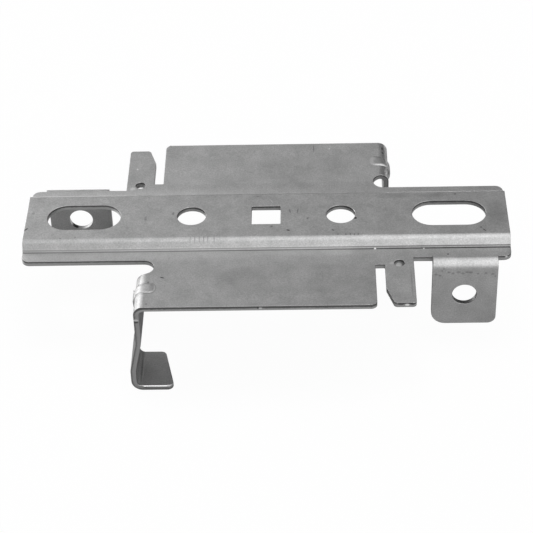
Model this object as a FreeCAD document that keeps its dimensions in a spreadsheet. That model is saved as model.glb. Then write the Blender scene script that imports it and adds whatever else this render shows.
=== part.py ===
import FreeCAD, Part
import math
import os
import Sketcher

# A mounting bracket folded from one piece of sheet steel. A raised strip runs along X and
# carries the bolt holes. On each long side it has a side plate with a leg and a foot, a
# finger and a tab with a hole. The second side is the first one turned half a turn about Z.
# Origin: on the floor plane under the square hole. +X along the strip, +Z up, millimetres.

os.makedirs("parts", exist_ok=True)
doc = FreeCAD.newDocument("bracket")

# The driving dimensions, one row each: alias, value and what it measures.
DIMENSIONS = (
    ("gauge", 2.0, "thickness of the sheet"),
    ("height", 43.3, "floor plane to the top of the raised web"),
    ("overall_width", 100.4, "across the two side plates, along Y"),
    ("strip_length", 183.0, "length of the strip, along X"),
    ("strip_width", 43.7, "across the two flanges of the strip"),
    ("strip_corner", 3.0, "rounding of the strip's four corners"),
    ("web_rise", 3.9, "top of the flanges to the top of the web"),
    ("crease_span", 32.7, "between the two creases at the foot of the web's walls"),
    ("wall_angle", 58.0, "slope of the web's walls, in degrees"),
    ("web_bend", 0.4, "inside radius where the web turns down"),
    ("crease_bend", 0.3, "inside radius where the wall meets the flange"),
    ("square_hole", 11.0, "side of the square hole in the middle"),
    ("square_corner", 0.5, "rounding of the square hole's corners"),
    ("bolt_hole", 11.0, "diameter of the two round holes"),
    ("bolt_spacing", 56.7, "between the centres of the round holes"),
    ("slot_length", 28.0, "end to end length of each slot"),
    ("slot_width", 15.0, "width of each slot"),
    ("slot_margin", 22.15, "from the strip's end to the centre of the slot next to it"),
    ("plate_side", 40.7, "from the middle to the free side of the side plate"),
    ("plate_rise", 1.1, "how far the side plate's free edge stands above the flange"),
    ("plate_corner", 2.3, "rounding of the side plate's free corner"),
    ("leg_face", 47.8, "from the middle to the outer face of the leg"),
    ("leg_bend", 1.8, "inside radius where the leg turns down"),
    ("relief_width", 8.05, "width of the relief between strip and leg"),
    ("relief_depth", 6.3, "outer face of the leg to the end of the relief"),
    ("joggle_top", 23.1, "floor plane to where the leg starts to lean out"),
    ("joggle_low", 9.75, "floor plane to where the leg is upright again"),
    ("joggle_out", 2.9, "how far the leg leans out"),
    ("joggle_bend", 8.0, "inside radius of the two gentle leg bends"),
    ("foot_bend", 2.3, "inside radius where the foot turns in"),
    ("foot_long", 16.05, "length of the foot at the outer edge of the plate"),
    ("foot_short", 11.8, "length of the foot next to the relief"),
    ("leg_taper", 0.95, "how much narrower the leg is at the foot than at the joggle"),
    ("foot_corner", 2.2, "rounding of the foot's two corners"),
    ("bead_radius", 6.0, "outer radius of the stiffening bead across the leg's bend"),
    ("bead_proud", 0.9, "how far the bead stands out from the plate and from the leg"),
    ("bead_width", 5.7, "width of the bead"),
    ("bead_corner", 1.3, "rounding along both sides of the bead"),
    ("bead_groove", 3.0, "width of the groove that the bead leaves inside the bend"),
    ("bead_groove_corner", 0.8, "rounding along both sides of that groove's floor"),
    ("bead_offset", 8.8, "from the leg's edge at the relief to the bead's middle"),
    ("finger_gap", 3.6, "gap between the side plate and the finger"),
    ("finger_root", 3.95, "strip edge to the bottom of that gap"),
    ("finger_root_corner", 0.5, "rounding at the bottom of that gap"),
    ("finger_width", 10.7, "width of the finger"),
    ("finger_length", 26.25, "strip edge to the end of the finger"),
    ("finger_taper", 2.75, "how far the finger's inner side tapers in"),
    ("finger_taper_length", 8.7, "length of that taper"),
    ("finger_corner", 1.4, "rounding of the finger's corners"),
    ("pilot_hole", 3.9, "diameter of the small hole in the finger"),
    ("pilot_out", 3.25, "strip edge to the centre of the small hole"),
    ("pilot_wall", 0.8, "wall of the collar drawn down around the small hole"),
    ("pilot_drop", 0.5, "how far that collar stands below the sheet"),
    ("tab_centre", 74.2, "from the middle to the centre line of the tab"),
    ("tab_width", 24.4, "width of the tab"),
    ("tab_length", 29.5, "top of the flange to the lower end of the tab"),
    ("tab_bend", 1.65, "inside radius where the tab turns down"),
    ("tab_inner_corner", 5.5, "rounding of the tab's lower corner nearest the middle"),
    ("tab_outer_corner", 3.1, "rounding of the tab's other lower corner"),
    ("tab_hole", 9.2, "diameter of the hole in the tab"),
    ("tab_hole_down", 15.3, "top of the flange to the centre of the tab's hole"),
)

sheet = doc.addObject("Spreadsheet::Sheet", "Dims")
for row, (alias, value, meaning) in enumerate(DIMENSIONS, start=1):
    sheet.set("A%d" % row, alias)
    sheet.set("B%d" % row, str(value))
    sheet.set("C%d" % row, meaning)
    sheet.setAlias("B%d" % row, alias)
doc.recompute()

body = doc.addObject("PartDesign::Body", "bracket")
body.Label = "bracket"

# Places and depths that several features share, written once in terms of the dimensions.
STRIP_EDGE = "Dims.strip_width / 2"
REACH = "Dims.overall_width / 2"
FLANGE_TOP = "(Dims.height - Dims.web_rise)"
FLANGE_UNDER = "(Dims.height - Dims.web_rise - Dims.gauge)"
ROOT_EDGE = "(Dims.strip_width / 2 + Dims.finger_root)"
LEG_EDGE = "(Dims.strip_width / 2 + Dims.relief_width)"
FOOT_EDGE = "(Dims.strip_width / 2 + Dims.relief_width + Dims.leg_taper)"
FINGER_SIDE = "(Dims.plate_side + Dims.finger_gap)"
FOOT_FACE = "(Dims.leg_face + Dims.joggle_out)"
RISE = "(Dims.plate_rise / (%s - %s))" % (REACH, ROOT_EDGE)
BEAD_PLATE = "(%s + %s * (%s + Dims.bead_offset - %s))" % (FLANGE_TOP, RISE, LEG_EDGE, ROOT_EDGE)
BEAD_SWEEP = "90 deg + 2 * (acos(1 - Dims.bead_proud / Dims.bead_radius) + 3 deg)"
JOGGLE_TURN = "atan(Dims.joggle_out / (Dims.joggle_top - Dims.joggle_low))"
THROUGH = "Dims.gauge * 3"
WALL_SHIFT = "Dims.gauge * tan(Dims.wall_angle * 1 deg / 2)"
X_AXIS = FreeCAD.Vector(1, 0, 0)
Y_AXIS = FreeCAD.Vector(0, 1, 0)
Z_AXIS = FreeCAD.Vector(0, 0, 1)


def origin_feature(role):
    """The plane or axis of the body's own origin that has this role."""
    for feature in body.Origin.OriginFeatures:
        if feature.Role == role:
            return feature
    raise RuntimeError("no origin feature " + role)


def new_sketch(name, plane, offset="0"):
    """An empty sketch on one of the body's origin planes, moved along the plane's normal."""
    sketch = body.newObject("Sketcher::SketchObject", name)
    sketch.AttachmentSupport = [(origin_feature(plane), "")]
    sketch.MapMode = "FlatFace"
    sketch.setExpression("AttachmentOffset.Base.z", offset)
    return sketch


def bind(sketch, kind, *parts):
    """Add a dimension to the sketch and tie it to an expression, the last argument."""
    where, expression = parts[:-1], parts[-1]
    size = float(sketch.evalExpression(expression))
    index = sketch.addConstraint(Sketcher.Constraint(kind, *where, size))
    sketch.setExpression("Constraints[%d]" % index, expression)


def place(sketch, index, point, across, up):
    """Tie one point of a sketch element to its two distances from the sketch's origin."""
    bind(sketch, "DistanceX", -1, 1, index, point, across)
    bind(sketch, "DistanceY", -1, 1, index, point, up)


def outline(sketch, corners):
    """Add a closed outline of straight lines whose corners are pairs of expressions."""
    turn = 2 * math.pi / len(corners)
    rough = [FreeCAD.Vector(math.cos(i * turn), math.sin(i * turn), 0) for i in range(len(corners))]
    first = sketch.GeometryCount
    for i in range(len(corners)):
        sketch.addGeometry(Part.LineSegment(rough[i], rough[i - len(corners) + 1]), False)
    for i, (across, up) in enumerate(corners):
        last = first + (i - 1) % len(corners)
        sketch.addConstraint(Sketcher.Constraint("Coincident", last, 2, first + i, 1))
        place(sketch, first + i, 1, across, up)


def circle(sketch, across, up, diameter):
    """Add a circle given by its centre and diameter."""
    index = sketch.addGeometry(Part.Circle(FreeCAD.Vector(), Z_AXIS, 1), False)
    place(sketch, index, 3, across, up)
    bind(sketch, "Diameter", index, diameter)


def obround(sketch, left, right, up, width):
    """Add a slot with round ends between two end centres at the same height."""
    line, middle = Part.LineSegment, FreeCAD.Vector
    quarter = math.pi / 2
    ends = (Part.Circle(middle(-2, 0, 0), Z_AXIS, 1), Part.Circle(middle(2, 0, 0), Z_AXIS, 1))
    first = sketch.addGeometry(Part.ArcOfCircle(ends[0], quarter, 3 * quarter), False)
    under = sketch.addGeometry(line(middle(-2, -1, 0), middle(2, -1, 0)), False)
    second = sketch.addGeometry(Part.ArcOfCircle(ends[1], -quarter, quarter), False)
    over = sketch.addGeometry(line(middle(2, 1, 0), middle(-2, 1, 0)), False)
    for one, other in ((first, under), (under, second), (second, over), (over, first)):
        sketch.addConstraint(Sketcher.Constraint("Tangent", one, 2, other, 1))
    place(sketch, first, 3, left, up)
    place(sketch, second, 3, right, up)
    bind(sketch, "Radius", first, "(%s) / 2" % width)
    bind(sketch, "Radius", second, "(%s) / 2" % width)


def solid_feature(kind, name, sketch, length, reverse=False):
    """Pad or pocket a sketch by a length."""
    feature = body.newObject("PartDesign::" + kind, name)
    feature.Profile = sketch
    feature.setExpression("Length", length)
    feature.Reversed = reverse
    sketch.Visibility = False
    doc.recompute()
    return feature


def corner(sketch, index):
    """Where a corner of a sketch's outline lies in the bracket's frame."""
    return sketch.Placement.multVec(sketch.Geometry[index].StartPoint)


def edges_through(shape, points, direction):
    """Names of the straight edges along a direction that lie on a line through a point."""
    near = 0.01
    names = []
    for number, edge in enumerate(shape.Edges, start=1):
        if edge.Curve.TypeId != "Part::GeomLine" or edge.Curve.Direction.cross(direction).Length > near:
            continue
        start = edge.Vertexes[0].Point
        if any((start - p).cross(direction).Length < near for p in points):
            names.append("Edge%d" % number)
    return names


def round_edges(name, points, direction, radius):
    """Round the edges that run in a direction through these points."""
    base = body.Tip
    names = edges_through(base.Shape, points, direction)
    if not names:
        raise RuntimeError("no edge to round for " + name)
    fillet = body.newObject("PartDesign::Fillet", name)
    fillet.Base = (base, names)
    fillet.setExpression("Radius", radius)
    doc.recompute()
    return fillet


def add_turned(kind, name, crest, back, width, rounding):
    """Turn a section with a rounded crest about the bead's centre line, past plate and leg."""
    sketch = new_sketch(name + "_section", "XY_Plane")
    sketch.AttachmentOffset = FreeCAD.Placement(FreeCAD.Vector(), FreeCAD.Rotation(Y_AXIS, 45))
    for side, expression in (
        ("x", "Dims.bead_radius - Dims.bead_proud - Dims.leg_face"),
        ("y", "-(%s + Dims.bead_offset)" % LEG_EDGE),
        ("z", "%s + Dims.bead_proud - Dims.bead_radius" % BEAD_PLATE),
    ):
        sketch.setExpression("AttachmentOffset.Base." + side, expression)
    # The rough shape is a box with two round corners; its constraints give the true sizes.
    line, arc, at = Part.LineSegment, Part.ArcOfCircle, FreeCAD.Vector
    quarter = math.pi / 2
    lower_round, upper_round = Part.Circle(at(-5, -1, 0), Z_AXIS, 1), Part.Circle(at(-5, 1, 0), Z_AXIS, 1)
    back_line = sketch.addGeometry(line(at(-3, -2, 0), at(-3, 2, 0)), False)
    above = sketch.addGeometry(line(at(-3, 2, 0), at(-5, 2, 0)), False)
    upper_arc = sketch.addGeometry(arc(upper_round, quarter, 2 * quarter), False)
    crest_line = sketch.addGeometry(line(at(-6, 1, 0), at(-6, -1, 0)), False)
    lower_arc = sketch.addGeometry(arc(lower_round, 2 * quarter, 3 * quarter), False)
    below = sketch.addGeometry(line(at(-5, -2, 0), at(-3, -2, 0)), False)
    chain = (above, upper_arc, crest_line, lower_arc, below)
    for one, other in zip(chain, chain[1:]):
        sketch.addConstraint(Sketcher.Constraint("Tangent", one, 2, other, 1))
    for one, other in ((below, back_line), (back_line, above)):
        sketch.addConstraint(Sketcher.Constraint("Coincident", one, 2, other, 1))
    for level in (below, above):
        sketch.addConstraint(Sketcher.Constraint("Horizontal", level))
    sketch.addConstraint(Sketcher.Constraint("Vertical", crest_line))
    sketch.addConstraint(Sketcher.Constraint("Symmetric", back_line, 1, back_line, 2, -1))
    sketch.addConstraint(Sketcher.Constraint("Equal", upper_arc, lower_arc))
    bind(sketch, "DistanceY", back_line, 1, back_line, 2, width)
    bind(sketch, "DistanceX", crest_line, 1, -1, 1, crest)
    bind(sketch, "DistanceX", back_line, 1, -1, 1, back)
    bind(sketch, "Radius", upper_arc, rounding)
    doc.recompute()
    feature = body.newObject("PartDesign::" + kind, name)
    feature.Profile = sketch
    feature.ReferenceAxis = (sketch, ["V_Axis"])
    feature.setExpression("Angle", BEAD_SWEEP)
    feature.Midplane = True
    doc.recompute()
    return feature


# The side plate turns down into the upper part of the leg. Drawn with sharp corners and
# bent afterwards: each bend has its inside radius on one face and the sheet more on the other.
# It rises a little from the strip to its free edge, so the section is padded along a slope.
leg_inside = "-(Dims.leg_face - Dims.gauge)"
plate_sketch = new_sketch("plate_section", "XZ_Plane", ROOT_EDGE)
outline(plate_sketch, (
    ("Dims.plate_side", FLANGE_TOP),
    ("-Dims.leg_face", FLANGE_TOP),
    ("-Dims.leg_face", "Dims.joggle_top + Dims.gauge"),
    (leg_inside, "Dims.joggle_top + Dims.gauge"),
    (leg_inside, FLANGE_UNDER),
    ("Dims.plate_side", FLANGE_UNDER),
))
plate = solid_feature("Pad", "plate", plate_sketch, "%s - %s" % (REACH, ROOT_EDGE))
plate.UseCustomVector = True
plate.AlongSketchNormal = True
plate.Direction = -Y_AXIS
plate.setExpression("Direction.z", RISE)
doc.recompute()
slope = FreeCAD.Vector(plate.Direction)
slope.normalize()
round_edges("leg_outer_bend", [corner(plate_sketch, 1)], slope, "Dims.leg_bend + Dims.gauge")
round_edges("leg_inner_bend", [corner(plate_sketch, 4)], slope, "Dims.leg_bend")

# The lower part of the leg leans outwards, stands upright again and turns in to the foot.
# It overlaps the plate's end of the leg, and is level although the plate rises.
foot_inside = "-(%s - Dims.gauge)" % FOOT_FACE
foot_tip = "-(%s - Dims.foot_long)" % FOOT_FACE
joggle_shift = "Dims.gauge * tan(%s / 2)" % JOGGLE_TURN
overlap = "Dims.joggle_top + Dims.gauge * 2 + Dims.plate_rise"
leg_sketch = new_sketch("leg_section", "XZ_Plane", LEG_EDGE)
outline(leg_sketch, (
    ("-Dims.leg_face", overlap),
    ("-Dims.leg_face", "Dims.joggle_top"),
    ("-" + FOOT_FACE, "Dims.joggle_low"),
    ("-" + FOOT_FACE, "0"),
    (foot_tip, "0"),
    (foot_tip, "Dims.gauge"),
    (foot_inside, "Dims.gauge"),
    (foot_inside, "Dims.joggle_low - " + joggle_shift),
    (leg_inside, "Dims.joggle_top - " + joggle_shift),
    (leg_inside, overlap),
))
solid_feature("Pad", "leg", leg_sketch, "%s - %s" % (REACH, LEG_EDGE))
joggle_inside = [corner(leg_sketch, 1), corner(leg_sketch, 7)]
joggle_outside = [corner(leg_sketch, 2), corner(leg_sketch, 8)]
round_edges("joggle_inside_bends", joggle_inside, Y_AXIS, "Dims.joggle_bend")
round_edges("joggle_outside_bends", joggle_outside, Y_AXIS, "Dims.joggle_bend + Dims.gauge")
round_edges("foot_outer_bend", [corner(leg_sketch, 3)], Y_AXIS, "Dims.foot_bend + Dims.gauge")
round_edges("foot_inner_bend", [corner(leg_sketch, 6)], Y_AXIS, "Dims.foot_bend")

# The leg's edge at the relief tapers in a little from the joggle down to the foot.
taper_sketch = new_sketch("taper_outline", "YZ_Plane", "-(%s + Dims.gauge)" % FOOT_FACE)
outline(taper_sketch, (
    ("-" + LEG_EDGE, "Dims.joggle_top"),
    ("-" + FOOT_EDGE, "Dims.gauge"),
    ("-" + FOOT_EDGE, "-Dims.gauge"),
    ("Dims.gauge - " + LEG_EDGE, "-Dims.gauge"),
    ("Dims.gauge - " + LEG_EDGE, "Dims.joggle_top"),
))
solid_feature("Pocket", "leg_edge_taper", taper_sketch, "Dims.foot_long + Dims.gauge * 2", True)

# The foot's inner edge is cut at a slant, shorter next to the relief.
slant_root = "-(%s - Dims.foot_short)" % FOOT_FACE
slant_past = "%s + Dims.gauge" % foot_tip
slant_edge = "-(%s - Dims.gauge)" % LEG_EDGE
slant_sketch = new_sketch("slant_outline", "XY_Plane", "Dims.gauge * 2")
outline(slant_sketch, (
    (foot_tip, "-" + REACH),
    (slant_root, "-" + FOOT_EDGE),
    (slant_root, slant_edge),
    (slant_past, slant_edge),
    (slant_past, "-" + REACH),
))
solid_feature("Pocket", "foot_slant", slant_sketch, THROUGH)
foot_corners = [corner(slant_sketch, 0), corner(slant_sketch, 1)]
round_edges("foot_corners", foot_corners, Z_AXIS, "Dims.foot_corner")
plate_corner = FreeCAD.Vector(corner(plate_sketch, 0).x, corner(slant_sketch, 0).y, 0)
round_edges("plate_corner", [plate_corner], Z_AXIS, "Dims.plate_corner")

# A bead pressed outwards across the leg's bend stiffens it. It stands proud of the plate and
# of the leg, runs out into both, and leaves a groove of the same form inside the bend.
add_turned("Revolution", "bead", "Dims.bead_radius", "Dims.bead_radius - Dims.gauge",
           "Dims.bead_width", "Dims.bead_corner")
add_turned("Groove", "bead_groove", "Dims.bead_radius - Dims.gauge", "Dims.gauge / 2",
           "Dims.bead_groove", "Dims.bead_groove_corner")

# Half of the strip: the web up to the middle plane, one sloping wall and one flange. The
# underside follows the top at one sheet thickness.
crease = "-Dims.crease_span / 2"
shoulder = "-(Dims.crease_span / 2 - Dims.web_rise / tan(Dims.wall_angle * 1 deg))"
strip_sketch = new_sketch("strip_section", "YZ_Plane", "-Dims.strip_length / 2")
outline(strip_sketch, (
    ("-" + STRIP_EDGE, FLANGE_TOP),
    (crease, FLANGE_TOP),
    (shoulder, "Dims.height"),
    ("0", "Dims.height"),
    ("0", "Dims.height - Dims.gauge"),
    ("%s + %s" % (shoulder, WALL_SHIFT), "Dims.height - Dims.gauge"),
    ("%s + %s" % (crease, WALL_SHIFT), FLANGE_UNDER),
    ("-" + STRIP_EDGE, FLANGE_UNDER),
))
solid_feature("Pad", "strip", strip_sketch, "Dims.strip_length")
round_edges("web_outer_bend", [corner(strip_sketch, 2)], X_AXIS, "Dims.web_bend + Dims.gauge")
round_edges("web_inner_bend", [corner(strip_sketch, 5)], X_AXIS, "Dims.web_bend")
round_edges("crease_top_bend", [corner(strip_sketch, 1)], X_AXIS, "Dims.crease_bend")
round_edges("crease_under_bend", [corner(strip_sketch, 6)], X_AXIS, "Dims.crease_bend + Dims.gauge")

strip_corner = corner(strip_sketch, 0)
far_corner = strip_corner + X_AXIS * sheet.get("strip_length")
round_edges("strip_corners", [strip_corner, far_corner], Z_AXIS, "Dims.strip_corner")

# The tab turns down from the strip's edge. Its section reaches back into the flange by one
# sheet thickness, so that the bend starts at the edge.
tab_face = "-(%s + Dims.tab_bend + Dims.gauge)" % STRIP_EDGE
tab_inside = "-(%s + Dims.tab_bend)" % STRIP_EDGE
tab_root = "Dims.gauge - %s" % STRIP_EDGE
tab_end = "%s - Dims.tab_length" % FLANGE_TOP
tab_sketch = new_sketch("tab_section", "YZ_Plane", "Dims.tab_centre - Dims.tab_width / 2")
outline(tab_sketch, (
    (tab_root, FLANGE_TOP),
    (tab_face, FLANGE_TOP),
    (tab_face, tab_end),
    (tab_inside, tab_end),
    (tab_inside, FLANGE_UNDER),
    (tab_root, FLANGE_UNDER),
))
solid_feature("Pad", "tab", tab_sketch, "Dims.tab_width")
round_edges("tab_outer_bend", [corner(tab_sketch, 1)], X_AXIS, "Dims.tab_bend + Dims.gauge")
round_edges("tab_inner_bend", [corner(tab_sketch, 4)], X_AXIS, "Dims.tab_bend")
tab_corner = corner(tab_sketch, 2)
far_tab_corner = tab_corner + X_AXIS * sheet.get("tab_width")
round_edges("tab_inner_corner", [tab_corner], Y_AXIS, "Dims.tab_inner_corner")
round_edges("tab_outer_corner", [far_tab_corner], Y_AXIS, "Dims.tab_outer_corner")
tab_hole_sketch = new_sketch("tab_hole_outline", "XZ_Plane", "Dims.gauge - (%s)" % tab_face)
circle(tab_hole_sketch, "Dims.tab_centre", "%s - Dims.tab_hole_down" % FLANGE_TOP, "Dims.tab_hole")
solid_feature("Pocket", "tab_hole", tab_hole_sketch, THROUGH)

# The level zone along the strip's edge that carries the side plate, and the finger on it.
relief_centre = "-(Dims.leg_face - Dims.relief_depth + Dims.relief_width / 2)"
finger_end = "-(%s + Dims.finger_length)" % STRIP_EDGE
finger_far = "%s + Dims.finger_width" % FINGER_SIDE
finger_sketch = new_sketch("finger_outline", "XY_Plane", FLANGE_UNDER)
outline(finger_sketch, (
    (relief_centre, "-" + STRIP_EDGE),
    (relief_centre, "-" + ROOT_EDGE),
    (FINGER_SIDE, "-" + ROOT_EDGE),
    (FINGER_SIDE, "%s + Dims.finger_taper_length" % finger_end),
    ("%s + Dims.finger_taper" % FINGER_SIDE, finger_end),
    (finger_far, finger_end),
    (finger_far, "-" + STRIP_EDGE),
))
solid_feature("Pad", "finger", finger_sketch, "Dims.gauge")
finger_corners = [corner(finger_sketch, i) for i in (3, 4, 5)]
gap_corner = corner(finger_sketch, 2)
root_corners = [gap_corner, gap_corner - X_AXIS * sheet.get("finger_gap")]
round_edges("finger_corners", finger_corners, Z_AXIS, "Dims.finger_corner")
round_edges("finger_root_corners", root_corners, Z_AXIS, "Dims.finger_root_corner")

# The relief between strip and leg: a slot with a round end, open past the leg.
relief_sketch = new_sketch("relief_outline", "XY_Plane", "Dims.height")
relief_line = "-(%s + Dims.relief_width / 2)" % STRIP_EDGE
relief_far = "-(Dims.leg_face + Dims.relief_width)"
obround(relief_sketch, relief_far, relief_centre, relief_line, "Dims.relief_width")
solid_feature("Pocket", "relief", relief_sketch, "Dims.height")

# The small pierced hole at the finger's root, with a low collar drawn down around it.
pilot_across = "%s + Dims.finger_width / 2" % FINGER_SIDE
pilot_along = "-(%s + Dims.pilot_out)" % STRIP_EDGE
collar_sketch = new_sketch("collar_outline", "XY_Plane", "%s - Dims.pilot_drop" % FLANGE_UNDER)
circle(collar_sketch, pilot_across, pilot_along, "Dims.pilot_hole + Dims.pilot_wall * 2")
solid_feature("Pad", "collar", collar_sketch, "Dims.pilot_drop + Dims.gauge / 2")
pilot_sketch = new_sketch("pilot_outline", "XY_Plane", FLANGE_TOP)
circle(pilot_sketch, pilot_across, pilot_along, "Dims.pilot_hole")
solid_feature("Pocket", "pilot_hole", pilot_sketch, THROUGH)

# The other side of the bracket is this one turned half a turn.
other_side = body.newObject("PartDesign::PolarPattern", "other_side")
other_side.TransformMode = "Whole shape"
other_side.Axis = (origin_feature("Z_Axis"), [""])
other_side.Angle = 360
other_side.Occurrences = 2
body.Tip = other_side
doc.recompute()

# The holes along the middle of the web.
hole_sketch = new_sketch("web_holes_outline", "XY_Plane", "Dims.height")
near_side, far_side = "-Dims.square_hole / 2", "Dims.square_hole / 2"
outline(hole_sketch, (
    (near_side, near_side),
    (far_side, near_side),
    (far_side, far_side),
    (near_side, far_side),
))
for side in ("", "-"):
    circle(hole_sketch, side + "Dims.bolt_spacing / 2", "0", "Dims.bolt_hole")
slot_end = "(Dims.slot_length - Dims.slot_width) / 2"
for side in ("", "-"):
    slot_middle = side + "(Dims.strip_length / 2 - Dims.slot_margin)"
    left, right = "%s - %s" % (slot_middle, slot_end), "%s + %s" % (slot_middle, slot_end)
    obround(hole_sketch, left, right, "0", "Dims.slot_width")
solid_feature("Pocket", "web_holes", hole_sketch, THROUGH)
square_corners = [corner(hole_sketch, i) for i in range(4)]
round_edges("square_corners", square_corners, Z_AXIS, "Dims.square_corner")

for item in doc.Objects:
    if "Invalid" in item.State or "Error" in item.State:
        raise RuntimeError("%s failed: %s" % (item.Name, item.State))
if body.Shape.isNull() or not body.Shape.isValid():
    raise RuntimeError("the bracket's solid is not sound")
body.Shape.exportStep("parts/bracket.step")
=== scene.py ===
import math

import bpy
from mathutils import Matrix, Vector
from mathutils.bvhtree import BVHTree


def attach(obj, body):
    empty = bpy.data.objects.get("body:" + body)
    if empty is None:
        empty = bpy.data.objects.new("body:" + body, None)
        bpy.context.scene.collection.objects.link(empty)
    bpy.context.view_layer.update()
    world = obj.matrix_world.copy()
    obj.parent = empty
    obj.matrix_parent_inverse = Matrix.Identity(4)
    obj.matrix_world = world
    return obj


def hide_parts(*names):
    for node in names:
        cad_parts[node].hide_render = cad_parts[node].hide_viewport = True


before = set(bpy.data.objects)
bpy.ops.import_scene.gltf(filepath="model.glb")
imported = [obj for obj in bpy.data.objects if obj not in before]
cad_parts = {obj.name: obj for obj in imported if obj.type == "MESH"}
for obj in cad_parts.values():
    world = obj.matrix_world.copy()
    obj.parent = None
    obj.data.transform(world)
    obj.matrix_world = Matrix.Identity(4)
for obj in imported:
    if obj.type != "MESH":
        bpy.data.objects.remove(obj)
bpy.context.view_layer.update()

# The camera. It stands in front of the bracket, raised about 39 degrees and turned a little,
# with a long lens, so that the lines of the strip run nearly parallel as in the photograph.
camera_data = bpy.data.cameras.new("camera")
camera_data.sensor_width = 36.0
camera_data.lens = 127.446
camera = bpy.data.objects.new("camera", camera_data)
bpy.context.scene.collection.objects.link(camera)
camera.location = (0.018476, -0.568563, 0.480380)
camera.rotation_euler = [math.radians(turn) for turn in (50.8831, 1.5009, 0.6896)]
bpy.context.scene.camera = camera
bpy.context.scene.view_settings.view_transform = "Standard"


# The floor. A wide sheet of plain white paper that takes a soft shadow. The camera sees it
# white. The metal mirrors it dark where the bracket shades it. In mirrored rays it also glows
# as a painted pool of light, a little lighter in front of the bracket and bright out on the
# left behind it.
def linear(code):
    """A colour written as sRGB hex, turned linear, with alpha 1."""
    shares = [int(code[i:i + 2], 16) / 255 for i in (0, 2, 4)]
    return [s / 12.92 if s <= 0.04045 else ((s + 0.055) / 1.055) ** 2.4 for s in shares] + [1.0]


def add_node(tree, kind, links=(), **settings):
    """Add a node. Settings are its properties or, by name, its sockets, as in From_Min."""
    node = tree.nodes.new(kind)
    for name, value in settings.items():
        if hasattr(node, name):
            setattr(node, name, value)
        else:
            node.inputs[name.replace("_", " ").title()].default_value = value
    for source, socket in links:
        tree.links.new(source, node.inputs[socket])
    return node


bpy.ops.object.select_all(action="DESELECT")
bpy.ops.mesh.primitive_plane_add(size=12.0, location=(0.0, 0.0, 0.0))
floor = bpy.context.active_object
floor.name = "floor"
white_floor = bpy.data.materials.new("white_floor")
white_floor.use_nodes = True
tree = white_floor.node_tree
tree.nodes.clear()
ray = add_node(tree, "ShaderNodeLightPath")
paper = add_node(tree, "ShaderNodeBsdfDiffuse", Color=linear("808080"))
glowing = add_node(tree, "ShaderNodeEmission", Color=linear("FFFFFF"))
mirrored = add_node(tree, "ShaderNodeMath", [(ray.outputs["Is Glossy Ray"], 0),
                                             (ray.outputs["Is Transmission Ray"], 1)],
                    operation="MAXIMUM")
# Painted glow for mirrored rays: bright out on the left behind the bracket, faint in front of it.
ground = add_node(tree, "ShaderNodeTexCoord")
leftwards = add_node(tree, "ShaderNodeVectorMath", [(ground.outputs["Object"], 0)],
                     operation="DOT_PRODUCT")
leftwards.inputs[1].default_value = (-0.6, 0.8, 0.0)
lit_left = add_node(tree, "ShaderNodeMapRange", [(leftwards.outputs["Value"], "Value")],
                    From_Min=0.065, From_Max=0.11, To_Min=0.013, To_Max=0.95)
forwards = add_node(tree, "ShaderNodeSeparateXYZ", [(ground.outputs["Object"], 0)])
lit_front = add_node(tree, "ShaderNodeMapRange", [(forwards.outputs["Y"], "Value")],
                     From_Min=-0.022, From_Max=-0.046, To_Min=0.0, To_Max=0.077)
lit = add_node(tree, "ShaderNodeMath", [(lit_left.outputs[0], 0), (lit_front.outputs[0], 1)],
               operation="ADD")
share = add_node(tree, "ShaderNodeMath", [(mirrored.outputs[0], 0), (lit.outputs[0], 1)],
                 operation="MULTIPLY")
WHITE, MORE_IF_MIRRORED = 1.04, 1.26
strength = add_node(tree, "ShaderNodeMath", [(mirrored.outputs[0], 0)], operation="MULTIPLY_ADD")
strength.inputs[1].default_value = MORE_IF_MIRRORED
strength.inputs[2].default_value = WHITE
tree.links.new(strength.outputs[0], glowing.inputs["Strength"])
seen = add_node(tree, "ShaderNodeMath", [(ray.outputs["Is Camera Ray"], 0), (share.outputs[0], 2)],
                operation="MULTIPLY_ADD")
seen.inputs[1].default_value = 0.93
surface = add_node(tree, "ShaderNodeMixShader",
                   [(seen.outputs[0], 0), (paper.outputs[0], 1), (glowing.outputs[0], 2)])
add_node(tree, "ShaderNodeOutputMaterial", [(surface.outputs[0], "Surface")])
floor.data.materials.append(white_floor)

# The lamps. A large softbox on the left behind the bracket, which the bend of the leg mirrors,
# and a small one overhead, which only gives the shadow: the metal doesn't mirror it.
BRACKET_MIDDLE = Vector((0.0, 0.0, 0.03))
for name, size, power, place, is_mirrored in (
    ("softbox_left", (1.1, 0.8), 8.0, (-0.95, 0.75, 0.32), True),
    ("softbox_above", (0.4, 0.4), 9.0, (0.0, 0.1, 1.1), False),
):
    lamp_data = bpy.data.lights.new(name, "AREA")
    lamp_data.shape = "RECTANGLE"
    lamp_data.size, lamp_data.size_y = size
    lamp_data.energy = power
    lamp = bpy.data.objects.new(name, lamp_data)
    bpy.context.scene.collection.objects.link(lamp)
    lamp.location = place
    lamp.visible_glossy = is_mirrored
    lamp.rotation_euler = (BRACKET_MIDDLE - Vector(place)).to_track_quat("-Z", "Y").to_euler()

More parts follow.
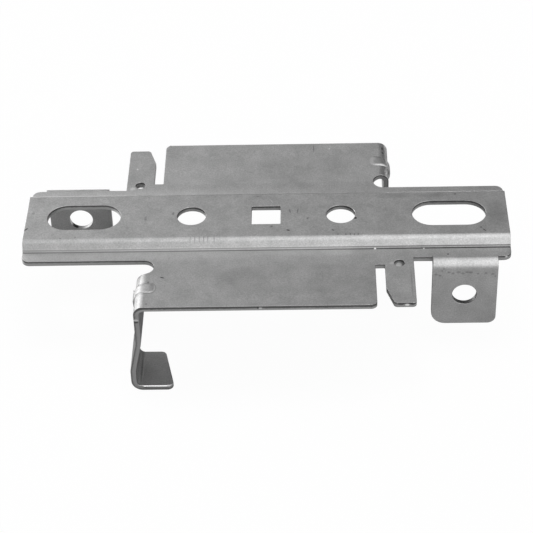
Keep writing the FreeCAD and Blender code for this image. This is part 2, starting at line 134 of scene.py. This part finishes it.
# The room. The sheet's flat faces mirror its wall behind the bracket, which is pale on the left
# and dark on the right. The wall in front is pale on the right, all walls are darker low down,
# and the ceiling is bright on the right, where the bend of the tab mirrors it.
world = bpy.data.worlds.new("pale_room")
bpy.context.scene.world = world
world.use_nodes = True
tree = world.node_tree
tree.nodes.clear()
ray = add_node(tree, "ShaderNodeLightPath")
direction = add_node(tree, "ShaderNodeTexCoord")
axes = add_node(tree, "ShaderNodeSeparateXYZ", [(direction.outputs["Generated"], 0)])
back_wall, front_wall = [
    add_node(tree, "ShaderNodeMapRange", [(axes.outputs["X"], "Value")],
             From_Min=-0.3, From_Max=right_end, To_Min=left_level, To_Max=right_level)
    for right_end, left_level, right_level in ((0.24, 0.97, 0.0), (0.3, 0.13, 3.0))]
depth = add_node(tree, "ShaderNodeMapRange", [(axes.outputs["Y"], "Value")],
                 From_Min=0.75, From_Max=-0.9)
level = add_node(tree, "ShaderNodeMix",
                 [(depth.outputs[0], 0), (back_wall.outputs[0], 2), (front_wall.outputs[0], 3)])
low_down = add_node(tree, "ShaderNodeMapRange", [(axes.outputs["Z"], "Value")],
                    From_Min=0.0, From_Max=0.55, To_Min=0.35, To_Max=1.0)
high_up = add_node(tree, "ShaderNodeMapRange", [(axes.outputs["Z"], "Value")],
                   From_Min=0.73, From_Max=0.92)
rightwards = add_node(tree, "ShaderNodeMapRange", [(axes.outputs["X"], "Value")],
                      From_Min=-0.06, From_Max=0.15)
overhead = add_node(tree, "ShaderNodeMath", [(high_up.outputs[0], 0), (rightwards.outputs[0], 1)],
                    operation="MULTIPLY")
glow = add_node(tree, "ShaderNodeMath", [(level.outputs[0], 0), (low_down.outputs[0], 1),
                                         (overhead.outputs[0], 2)], operation="MULTIPLY_ADD")
room = add_node(tree, "ShaderNodeBackground", [(glow.outputs[0], "Strength")],
                Color=linear("FFFFFF"))
white = add_node(tree, "ShaderNodeBackground", Color=linear("FFFFFF"), Strength=1.0)
either = add_node(tree, "ShaderNodeMixShader",
                  [(ray.outputs["Is Camera Ray"], 0), (room.outputs[0], 1), (white.outputs[0], 2)])
add_node(tree, "ShaderNodeOutputWorld", [(either.outputs[0], "Surface")])

# The bracket: one piece of 2 mm cold-rolled steel sheet, blanked, pierced and folded. It has
# a mill finish, neutral grey and satin; the cut edges are sheared: burnished, then broken.
GAUGE = 0.002
bracket = bpy.data.objects.new("bracket_sheet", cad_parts["bracket"].data.copy())
bpy.context.scene.collection.objects.link(bracket)
bpy.ops.object.select_all(action="DESELECT")
bracket.select_set(True)
bpy.context.view_layer.objects.active = bracket
sheet = bracket.data
sheet.materials.clear()
bpy.ops.mesh.customdata_custom_splitnormals_clear()
bpy.ops.object.mode_set(mode="EDIT")
bpy.ops.mesh.select_mode(type="FACE")
bpy.ops.mesh.select_all(action="SELECT")
bpy.ops.mesh.remove_doubles(threshold=0.000002)
bpy.ops.mesh.select_all(action="DESELECT")
bpy.ops.object.mode_set(mode="OBJECT")

# A face lies on the sheet's skin where the opposite skin is one gauge below it, and so do all
# faces of the bead. All other faces were cut by the blanking and piercing tools.
SKIN, CUT = 0, 1


def over_one_leg(place):
    """A place's X and Y once both legs, half a turn apart, are laid over each other."""
    return abs(place.x), math.copysign(place.y, place.x * place.y)


def in_bead(place):
    """Whether a place lies in one of the two beads across the legs' bends."""
    across, along = over_one_leg(place)
    return 0.037 < across < 0.0495 and 0.0352 < along < 0.0422 and place.z > 0.030


solid = BVHTree.FromPolygons([v.co for v in sheet.vertices], [p.vertices for p in sheet.polygons])
for face in sheet.polygons:
    start = face.center - face.normal * 0.00001
    place, normal, index, depth = solid.ray_cast(start, -face.normal)
    skin = depth is not None and abs(depth - GAUGE) < 0.0003 and normal.dot(face.normal) < -0.8
    face.material_index = SKIN if skin or in_bead(face.center) else CUT
bpy.ops.object.mode_set(mode="EDIT")
bpy.ops.mesh.select_all(action="SELECT")
bpy.ops.mesh.dissolve_limited(angle_limit=math.radians(0.3), delimit={"MATERIAL"})
bpy.ops.mesh.select_all(action="DESELECT")
bpy.ops.object.mode_set(mode="OBJECT")

# The outer skin is all that runs on smoothly from the web's top, and the beads' outsides. A
# bead is pressed about an axis along Y, this far from the bracket's middle, above the floor
# and under the plate's top, in metres.
BEAD_AXIS = 0.0427
AXIS_HEIGHT = 0.0349
AXIS_DEPTH = 0.0050
faces_at = {}
for face in sheet.polygons:
    for key in face.edge_keys:
        faces_at.setdefault(key, []).append(face)
skins = [face for face in sheet.polygons if face.material_index == SKIN]
outer = {max(skins, key=lambda face: face.normal.z * face.area).index}
for face in skins:
    outwards = face.normal.z + math.copysign(face.normal.x, face.center.x * face.normal.x)
    from_axis = math.hypot(abs(face.center.x) - BEAD_AXIS, face.center.z - AXIS_HEIGHT)
    if in_bead(face.center) and (outwards > 0.1 or outwards > -0.1 and from_axis > AXIS_DEPTH):
        outer.add(face.index)
waiting = list(outer)
while waiting:
    face = sheet.polygons[waiting.pop()]
    for neighbour in (n for key in face.edge_keys for n in faces_at[key]):
        level = neighbour.normal.angle(face.normal) < math.radians(40)
        if neighbour.index not in outer and neighbour.material_index == SKIN and level:
            outer.add(neighbour.index)
            waiting.append(neighbour.index)
outer_skin = BVHTree.FromPolygons([v.co for v in sheet.vertices],
                                  [sheet.polygons[i].vertices for i in sorted(outer)])

# The blanking tool draws the outer edges down in a soft roll and leaves the inner ones sharp.
# The feet's upper end edges are worn round, and the beads flow into the sheet. The weights
# are shares of the rounding's width.
ROUNDING = 0.0005
ROLLED, SHARP, WORN, FLOWING = 0.3, 0.16, 1.2, 1.6
weights = sheet.attributes.new("bevel_weight_edge", "FLOAT", "EDGE")
for edge in sheet.edges:
    one, other = faces_at[edge.key]
    kinds = {one.material_index, other.material_index}
    ends = [sheet.vertices[i].co for i in edge.vertices]
    if kinds == {SKIN, CUT}:
        drawn = one.index in outer or other.index in outer
        on_foot = all(end.z < GAUGE + 0.0001 and abs(end.y) > 0.046 for end in ends)
        weights.data[edge.index].value = ROLLED if drawn else WORN if on_foot else SHARP
    elif kinds == {SKIN} and in_bead((one.center + other.center) / 2) \
            and one.normal.angle(other.normal) > math.radians(20):
        weights.data[edge.index].value = FLOWING

# The bead is highest on the leg. On the side plate, which rises towards its free edge, it
# runs out softly: about a quarter of its height is left there, and its end is drawn in by
# 0.8 mm, at its corners by up to 1.7 mm, so that the tip is low and round. Its axis follows
# the plate's slope.
PLATE_START, PLATE_SLOPE = 0.0258, 0.0451
FLAT_AXIS_HEIGHT = 0.0344
BEAD_MIDDLE, BEAD_HALF_WIDTH = 0.0387, 0.00285
TIP_LENGTH = 0.0032
for point in sheet.vertices:
    across, along = over_one_leg(point.co)
    beyond = max(0.0, across - BEAD_AXIS)
    height = point.co.z - FLAT_AXIS_HEIGHT - PLATE_SLOPE * (along - PLATE_START)
    above, turned = math.hypot(beyond, height) - AXIS_DEPTH, math.atan2(beyond, height)
    if in_bead(point.co) and above > -0.0001:
        lowered = above * (0.72 + 0.05 * min(1.0, turned / math.radians(15)))
        lowered *= min(1.0, max(0.0, 1.2 - turned / math.radians(55)))
        inwards = max(0.0, BEAD_AXIS - across) / TIP_LENGTH
        aside = (along - BEAD_MIDDLE) / BEAD_HALF_WIDTH
        pulled = (0.0008 + 0.0009 * min(1.0, aside * aside)) * min(1.0, inwards)
        pulled -= lowered * math.sin(turned)
        point.co.x += math.copysign(pulled, point.co.x)
        point.co.z -= lowered * math.cos(turned)

# The collar drawn down around the front small hole ends in a burr, and so its lower rim
# hangs 0.7 mm lower.
FRONT_SMALL_HOLE = (0.04965, -0.0251)
BURR = 0.0007
for point in sheet.vertices:
    from_hole = math.dist(point.co.xy, FRONT_SMALL_HOLE)
    if from_hole < 0.0029 and 0.0360 < point.co.z < 0.0370:
        point.co.z -= BURR

# The weighted edges are rounded. The cut faces are split into triangles, over which the depth
# spreads evenly, and the broad faces keep flat normals.
bevel = bracket.modifiers.new("edge_rounding", "BEVEL")
bevel.limit_method = "WEIGHT"
bevel.width = ROUNDING
bevel.segments = 3
bevel.use_clamp_overlap = False
bevel.loop_slide = False
bpy.ops.object.modifier_apply(modifier=bevel.name)
for face in sheet.polygons:
    face.select = face.material_index == CUT
bpy.ops.object.mode_set(mode="EDIT")
bpy.ops.mesh.quads_convert_to_tris(quad_method="BEAUTY", ngon_method="BEAUTY")
bpy.ops.mesh.select_all(action="DESELECT")
bpy.ops.object.mode_set(mode="OBJECT")
bpy.ops.object.shade_smooth_by_angle(angle=math.radians(32))
weighted = bracket.modifiers.new("flat_faces", "WEIGHTED_NORMAL")
weighted.keep_sharp = True
bpy.ops.object.modifier_apply(modifier=weighted.name)

# How deep each point lies through the sheet, from 0 on the outer skin to 1 on the inner. The
# steel of the cut edges is coloured by it.
through = sheet.attributes.new("through", "FLOAT", "POINT")
for point in sheet.vertices:
    through.data[point.index].value = min(1.0, outer_skin.find_nearest(point.co)[3] / GAUGE)

# Cold-rolled steel sheet with its mill finish: satin and neutral grey, with cloudy patches of
# about 7 mm and a matt grain. The real grain is finer than 0.5 mm, but it is drawn that
# coarse so that it shows. Scales count the patterns in a metre.
mill_finish = bpy.data.materials.new("cold_rolled_steel_mill_finish")
mill_finish.use_nodes = True
tree = mill_finish.node_tree
tree.nodes.clear()
place = add_node(tree, "ShaderNodeTexCoord").outputs["Object"]
axes = add_node(tree, "ShaderNodeSeparateXYZ", [(place, 0)])
grain = add_node(tree, "ShaderNodeTexNoise", [(place, "Vector")], Scale=2000.0, Detail=3.0)
clouds = add_node(tree, "ShaderNodeTexNoise", [(place, "Vector")],
                  Scale=140.0, Detail=4.0, Roughness=0.6)
grain_level, cloud_level = [
    add_node(tree, "ShaderNodeMapRange", [(noise.outputs[0], "Value")],
             From_Min=0.25, From_Max=0.75, To_Min=low_share, To_Max=high_share)
    for noise, low_share, high_share in ((grain, 0.80, 1.20), (clouds, 0.86, 1.14))]
both = add_node(tree, "ShaderNodeMath", [(grain_level.outputs[0], 0), (cloud_level.outputs[0], 1)],
                operation="MULTIPLY")
colour = add_node(tree, "ShaderNodeMix", [(both.outputs[0], "B")], data_type="RGBA",
                  blend_type="MULTIPLY", Factor=1.0, A=linear("B4B4B4"))
tone = colour.outputs["Result"]


# Along each crease of the strip lie two thin lines of painted shade and one of painted
# highlight, and the flange beside it gets a painted sheen, a little brighter towards the left.
# Each row holds what is measured, the middle and half the width in metres, the shade and the
# opacity.
def stripe(tree, along, middle, half):
    """A mask that is 1 where the value lies within half its width of the middle, else 0."""
    shifted = add_node(tree, "ShaderNodeMath", [(along, 0)], operation="SUBTRACT")
    shifted.inputs[1].default_value = middle
    away = add_node(tree, "ShaderNodeMath", [(shifted.outputs[0], 0)], operation="ABSOLUTE")
    mask = add_node(tree, "ShaderNodeMapRange", [(away.outputs[0], "Value")],
                    From_Min=half * 0.5, From_Max=half, To_Min=1.0, To_Max=0.0)
    return mask.outputs[0]


def mark(tree, tone, mask, shade, opacity):
    """Lay a shade over the running tone where the mask is 1."""
    share = add_node(tree, "ShaderNodeMath", [(mask, 0)], operation="MULTIPLY")
    share.inputs[1].default_value = opacity
    over = add_node(tree, "ShaderNodeMix", [(share.outputs[0], "Factor"), (tone, "A")],
                    data_type="RGBA", B=linear(shade))
    return over.outputs["Result"]


middle_off = add_node(tree, "ShaderNodeMath", [(axes.outputs["Y"], 0)], operation="ABSOLUTE")
from_middle = middle_off.outputs[0]
near_crease = stripe(tree, from_middle, 0.0162, 0.0016)
# Painted shade and a painted highlight along the creases.
for along, middle, half, shade, opacity in (
    (axes.outputs["Z"], 0.04000, 0.00032, "202020", 0.65),
    (axes.outputs["Z"], 0.03965, 0.00012, "FFFFFF", 0.2),
    (from_middle, 0.01650, 0.00040, "101010", 0.85),
):
    both = add_node(tree, "ShaderNodeMath", [(stripe(tree, along, middle, half), 0),
                                             (near_crease, 1)], operation="MULTIPLY")
    tone = mark(tree, tone, both.outputs[0], shade, opacity)
# Painted sheen on the flange beside each crease, brighter towards the left.
beside_crease = add_node(tree, "ShaderNodeMapRange", [(from_middle, "Value")],
                         From_Min=0.0235, From_Max=0.0185)
flange_side = add_node(tree, "ShaderNodeMath", [(from_middle, 0)], operation="GREATER_THAN")
flange_side.inputs[1].default_value = 0.0157
leftmost = add_node(tree, "ShaderNodeMapRange", [(axes.outputs["X"], "Value")],
                    From_Min=0.06, From_Max=-0.03)
painted_sheen = add_node(tree, "ShaderNodeMath",
                  [(beside_crease.outputs[0], 0), (flange_side.outputs[0], 1)],
                  operation="MULTIPLY")
painted_sheen = add_node(tree, "ShaderNodeMath", [(painted_sheen.outputs[0], 0), (leftmost.outputs[0], 1)],
                  operation="MULTIPLY")
tone = mark(tree, tone, painted_sheen.outputs[0], "FFFFFF", 0.20)

# Where the front bead's tip runs into the plate, a thin line of painted shade lies round it,
# with a faint painted highlight inside it. Both are half rings, straight on towards the leg.
tip = add_node(tree, "ShaderNodeMapping", [(place, 0)], vector_type="TEXTURE",
               Location=(-0.0420, -0.0387, 0.0), Scale=(0.0020, 0.0031, 1.0))
tip_axes = add_node(tree, "ShaderNodeSeparateXYZ", [(tip.outputs[0], 0)])
beyond = add_node(tree, "ShaderNodeMath", [(tip_axes.outputs["X"], 0)], operation="MAXIMUM")
beyond.inputs[1].default_value = 0.0
round_tip = add_node(tree, "ShaderNodeCombineXYZ",
                     [(beyond.outputs[0], "X"), (tip_axes.outputs["Y"], "Y")])
from_tip = add_node(tree, "ShaderNodeVectorMath", [(round_tip.outputs[0], 0)], operation="LENGTH")
up_there = add_node(tree, "ShaderNodeMath", [(axes.outputs["Z"], 0)], operation="GREATER_THAN")
up_there.inputs[1].default_value = 0.030
for radius, half, shade, opacity in ((1.00, 0.12, "404040", 0.3), (0.75, 0.14, "FFFFFF", 0.1)):
    ring = add_node(tree, "ShaderNodeMath",
                    [(stripe(tree, from_tip.outputs["Value"], radius, half), 0),
                     (up_there.outputs[0], 1)], operation="MULTIPLY")
    tone = mark(tree, tone, ring.outputs[0], shade, opacity)


# Specks, scratches and dents from the tools and from handling, and soft patches that make the
# sheet darker or lighter in places. Some rows are painted light: a painted shadow beside the
# front tab and painted highlights by the two small holes. Each row holds the middle in X, Y
# and Z and the half sizes in mm, the turn in degrees, the shade and the opacity. Most lie on
# the web's or the plates' top faces, whose heights are named.
def spot(tree, tone, place, middle, half, turn, fade, shade, opacity):
    """Mark an oval round a middle, in mm. It fades in over a share of the way to the middle."""
    oval = add_node(tree, "ShaderNodeMapping", [(place, 0)], vector_type="TEXTURE",
                    Location=[length / 1000 for length in middle],
                    Rotation=(0.0, 0.0, math.radians(turn)),
                    Scale=[length / 1000 for length in half])
    near = add_node(tree, "ShaderNodeTexGradient", [(oval.outputs[0], 0)],
                    gradient_type="SPHERICAL")
    mask = add_node(tree, "ShaderNodeMapRange", [(near.outputs["Fac"], "Value")], From_Max=fade)
    return mark(tree, tone, mask.outputs[0], shade, opacity)


WEB, PLATE = 43.3, 39.9
for x, y, z, half_long, half_wide, turn, shade, opacity in (
    (9.1, 2.2, WEB, 0.35, 1.6, 10, "404040", 0.4),
    (12.0, 2.2, WEB, 0.35, 1.8, -10, "404040", 0.4),
    (8.4, -9.5, WEB, 0.9, 0.5, -15, "303030", 0.8),
    (25.3, -9.8, WEB, 0.7, 0.4, -35, "404040", 0.7),
    (2.3, -6.9, WEB, 0.6, 0.4, 0, "505050", 0.6),
    (80.8, -9.2, WEB, 0.5, 0.4, 0, "303030", 0.8),
    (82.0, -10.9, WEB, 1.1, 0.3, -50, "303030", 0.8),
    (-90.8, -7.0, WEB, 1.3, 0.45, 50, "303030", 0.8),
    (-35.4, 1.6, WEB, 0.6, 1.3, 0, "505050", 0.45),
    (-45.8, -1.5, WEB, 0.6, 1.8, 0, "606060", 0.35),
    (33.9, -2.6, WEB, 0.7, 0.7, 0, "282828", 0.9),
    (33.5, 1.7, WEB, 0.4, 0.7, 0, "F0F0F0", 0.7),
    (31.9, 3.3, WEB, 0.5, 0.3, 30, "F0F0F0", 0.6),
    (15.9, -2.2, WEB, 0.6, 0.5, 0, "606060", 0.5),
    (87.4, -1.3, WEB, 4.5, 9.0, 0, "606060", 0.22),
    (8.0, 32.0, PLATE, 14.0, 9.0, 0, "606060", 0.10),
    (25.0, 33.0, PLATE, 12.0, 9.0, 0, "606060", 0.08),
    (20.0, -18.0, PLATE, 26.0, 3.0, 0, "FFFFFF", 0.08),
    # Painted shadow in the notch beside the front tab's left edge.
    (62.1, -23.0, 38.6, 0.40, 2.6, 0, "202020", 0.6),
    (47.5, 11.0, WEB, 9.0, 1.8, 0, "707070", 0.22),
    (63.0, 11.0, WEB, 8.0, 1.6, 0, "707070", 0.22),
    (72.4, 11.6, WEB, 0.5, 0.5, 0, "303030", 0.7),
    (-28.3, -13.8, WEB, 0.25, 1.6, 0, "505050", 0.45),
    (-26.6, -13.8, WEB, 0.25, 1.6, 0, "505050", 0.45),
    (-24.9, -13.8, WEB, 0.25, 1.6, 0, "505050", 0.45),
    (-23.2, -13.8, WEB, 0.25, 1.6, 0, "505050", 0.45),
    (-21.7, -13.8, WEB, 0.25, 1.6, 0, "505050", 0.45),
    (-19.3, -13.8, WEB, 0.25, 1.6, 0, "505050", 0.45),
    (27.1, -12.4, WEB, 0.3, 0.7, 0, "505050", 0.5),
    (30.1, -12.4, WEB, 0.3, 0.7, 0, "505050", 0.6),
    (31.7, -12.4, WEB, 0.3, 0.7, 0, "404040", 0.6),
    (33.2, -12.6, WEB, 0.3, 0.7, 0, "404040", 0.6),
    (34.7, -12.5, WEB, 0.3, 0.7, 0, "505050", 0.6),
    (-38.0, -32.3, PLATE, 1.1, 0.35, -25, "303030", 0.9),
    (-43.0, -35.1, PLATE, 0.5, 0.7, 0, "404040", 0.5),
    (-42.9, -48.1, PLATE, 0.6, 0.5, 0, "404040", 0.5),
    (67.9, -20.3, PLATE, 0.5, 0.5, 0, "303030", 0.8),
    (40.9, -16.6, PLATE, 0.6, 0.5, 0, "FFFFFF", 0.9),
    (59.1, -16.8, PLATE, 0.4, 0.5, 0, "FFFFFF", 0.9),
    (46.6, 44.5, 38.6, 1.6, 5.5, 0, "505050", 0.35),
    (46.8, 35.5, 38.0, 1.4, 1.8, 0, "404040", 0.35),
    (45.7, 46.9, 39.2, 0.5, 1.2, 0, "202020", 0.6),
    (45.8, 44.2, 39.2, 0.5, 0.7, 20, "202020", 0.6),
    (47.0, 37.7, 37.0, 0.6, 1.0, 0, "303030", 0.6),
    (46.3, 40.4, 38.5, 0.4, 0.8, -20, "303030", 0.5),
    (18.4, 46.9, PLATE, 0.35, 3.0, 0, "404040", 0.35),
    (24.7, 46.7, PLATE, 0.4, 0.5, 0, "FFFFFF", 0.5),
    # Painted highlight at the lower left of the rear small hole.
    (-52.6, 22.9, PLATE, 1.4, 1.2, 30, "FFFFFF", 0.35),
    (-51.5, 35.8, PLATE, 0.5, 0.7, 0, "FFFFFF", 0.5),
    (-89.0, 2.8, WEB, 0.8, 1.0, 0, "505050", 0.3),
    (2.0, 8.7, WEB, 0.15, 1.6, 25, "FFFFFF", 0.4),
    (2.0, -7.2, WEB, 0.7, 0.4, 30, "404040", 0.35),
    (15.7, -2.5, WEB, 0.5, 0.6, 0, "404040", 0.35),
    (-3.2, 11.7, WEB, 0.8, 0.5, 0, "505050", 0.3),
    (-77.3, -12.8, WEB, 0.35, 0.35, 0, "404040", 0.5),
    (-71.7, -12.3, WEB, 0.3, 0.5, 0, "404040", 0.5),
    # Painted highlight at the left of the front small hole.
    (46.8, -25.1, PLATE, 1.3, 1.0, 30, "FFFFFF", 0.2),
    (-8.0, -33.0, PLATE, 14.0, 8.0, 0, "606060", 0.1),
    (53.7, -37.0, PLATE, 0.4, 10.0, 0, "404040", 0.22),
    (-47.4, -40.5, 2.0, 0.3, 9.0, 0, "303030", 0.3),
    (-46.8, -40.5, 2.0, 0.3, 9.0, 0, "FFFFFF", 0.15),
):
    tone = spot(tree, tone, place, (x, y, z), (half_long, half_wide, 3.0), turn, 0.5,
                shade, opacity)

# A row of small dark dents along the outside of the front tab's bend, left by the folding
# tool. Each row holds the middle in X and Z and half the length, in mm.
TAB_FACE = -25.5
for x, z, half_long in (
    (63.3, 33.9, 1.0),
    (64.8, 33.4, 0.8),
    (68.1, 34.8, 0.8),
    (69.6, 34.3, 0.9),
    (71.6, 34.9, 1.1),
    (73.3, 34.2, 1.0),
    (74.9, 34.9, 1.2),
    (76.2, 34.7, 1.0),
    (78.9, 34.1, 0.6),
    (81.8, 34.3, 0.7),
    (84.4, 33.8, 0.8),
    (85.4, 32.8, 0.5),
    (66.2, 36.5, 0.4),
    (65.5, 35.6, 0.4),
):
    tone = spot(tree, tone, place, (x, TAB_FACE, z), (half_long, 1.0, 0.6), 0, 0.7, "404040", 0.4)

# The rounded upper end edge of the front foot carries a painted highlight. It is found by Y
# and Z together, because it lies at 45 degrees. The grain also stands up a little, 0.03 mm.
foot_edge = add_node(tree, "ShaderNodeVectorMath", [(place, 0)], operation="DOT_PRODUCT")
foot_edge.inputs[1].default_value = (0.0, 1.0, 1.0)
painted_sheen = stripe(tree, foot_edge.outputs["Value"], -0.0481, 0.0006)
tone = mark(tree, tone, painted_sheen, "FFFFFF", 0.9)
relief = add_node(tree, "ShaderNodeBump", [(grain.outputs[0], "Height")],
                  Strength=0.5, Distance=0.00003)
steel = add_node(tree, "ShaderNodeBsdfPrincipled",
                 [(tone, "Base Color"), (relief.outputs[0], "Normal")],
                 Metallic=1.0, Roughness=0.42)
add_node(tree, "ShaderNodeOutputMaterial", [(steel.outputs[0], "Surface")])

# The sheared edge: a dark burnished band under the outer skin, then a paler rough break. Their
# border is ragged by about 1 mm. The band is wider on the front cuts. On the legs it is
# narrower, and both are nearer to one grey.
sheared_edge = bpy.data.materials.new("sheared_steel_edge")
sheared_edge.use_nodes = True
tree = sheared_edge.node_tree
tree.nodes.clear()
deep = add_node(tree, "ShaderNodeAttribute", attribute_name="through")
place = add_node(tree, "ShaderNodeTexCoord").outputs["Object"]
axes = add_node(tree, "ShaderNodeSeparateXYZ", [(place, 0)])
ragged = add_node(tree, "ShaderNodeTexNoise", [(place, "Vector")], Scale=900.0, Detail=3.0)
depth = deep.outputs["Fac"]
for value, (low_value, high_value), (low_shift, high_shift) in (
    (ragged.outputs[0], (0.25, 0.75), (-0.08, 0.08)),
    (axes.outputs["Y"], (-0.048, -0.050), (0.0, -0.14)),
    (axes.outputs["Z"], (0.0395, 0.0370), (0.0, 0.22)),
):
    shift = add_node(tree, "ShaderNodeMapRange", [(value, "Value")], From_Min=low_value,
                     From_Max=high_value, To_Min=low_shift, To_Max=high_shift)
    moved = add_node(tree, "ShaderNodeMath", [(depth, 0), (shift.outputs[0], 1)], operation="ADD")
    depth = moved.outputs[0]
leg_shift = shift
ramp = add_node(tree, "ShaderNodeValToRGB", [(depth, 0)])
burnished, broken = ramp.color_ramp.elements
burnished.position, burnished.color = 0.32, linear("6A6A6A")
broken.position, broken.color = 0.52, linear("B8B8B8")
on_leg = add_node(tree, "ShaderNodeMath", [(leg_shift.outputs[0], 0)], operation="MULTIPLY")
on_leg.inputs[1].default_value = 3.5
tone = mark(tree, ramp.outputs[0], on_leg.outputs[0], "909090", 0.7)

# Nicks, burrs and torn places in the cut edges, on the front plate, the leg, the foot, the
# finger and the strip's corner. Light is painted on the walls of three holes: a painted
# highlight low in the front small hole, painted shade and a painted highlight in the front
# tab's hole, and painted shade in the rear tab's hole. Each row holds the middle and the
# half sizes in X, Y and Z in mm, the shade and the opacity.
for x, y, z, half_x, half_y, half_z, shade, opacity in (
    (-2.4, -50.2, 39.9, 0.35, 0.6, 0.9, "404040", 0.7),
    (-1.5, -50.2, 39.5, 0.8, 0.6, 0.5, "F0F0F0", 0.6),
    (-47.0, -50.2, 34.4, 1.2, 0.6, 0.5, "FFFFFF", 0.5),
    (-46.8, -50.2, 33.4, 1.0, 0.6, 0.5, "303030", 0.7),
    (-40.0, -50.2, 0.3, 12.0, 0.8, 1.6, "808080", 0.5),
    # Painted highlight low on the front small hole's wall.
    (49.4, -23.3, 36.9, 1.7, 1.2, 1.3, "F0F0F0", 0.85),
    # Painted shade and a painted highlight on the front tab's hole wall.
    (73.6, -24.5, 21.4, 5.5, 2.5, 3.4, "303030", 0.6),
    (77.2, -24.5, 21.8, 0.8, 1.5, 0.8, "FFFFFF", 0.8),
    # Painted shade on the rear tab's hole wall.
    (-77.0, 24.5, 20.4, 1.8, 2.0, 1.5, "181818", 0.9),
    (51.5, -48.1, 38.5, 1.0, 0.9, 0.6, "FFFFFF", 0.9),
    (49.2, -48.1, 39.1, 1.5, 0.9, 0.9, "303030", 0.6),
    (53.5, -48.1, 39.1, 1.3, 0.9, 0.9, "303030", 0.6),
    (51.4, -48.1, 39.3, 0.9, 0.9, 0.3, "303030", 0.6),
    (89.4, -21.3, 38.9, 0.7, 0.9, 0.4, "FFFFFF", 0.8),
    (87.6, -21.7, 39.3, 1.4, 0.9, 0.5, "202020", 0.6),
):
    tone = spot(tree, tone, place, (x, y, z), (half_x, half_y, half_z), 0, 0.4, shade, opacity)
steel = add_node(tree, "ShaderNodeBsdfPrincipled", [(tone, "Base Color")],
                 Metallic=1.0, Roughness=0.5)
add_node(tree, "ShaderNodeOutputMaterial", [(steel.outputs[0], "Surface")])
sheet.materials.append(mill_finish)
sheet.materials.append(sheared_edge)
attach(bracket, "root")
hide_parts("bracket")
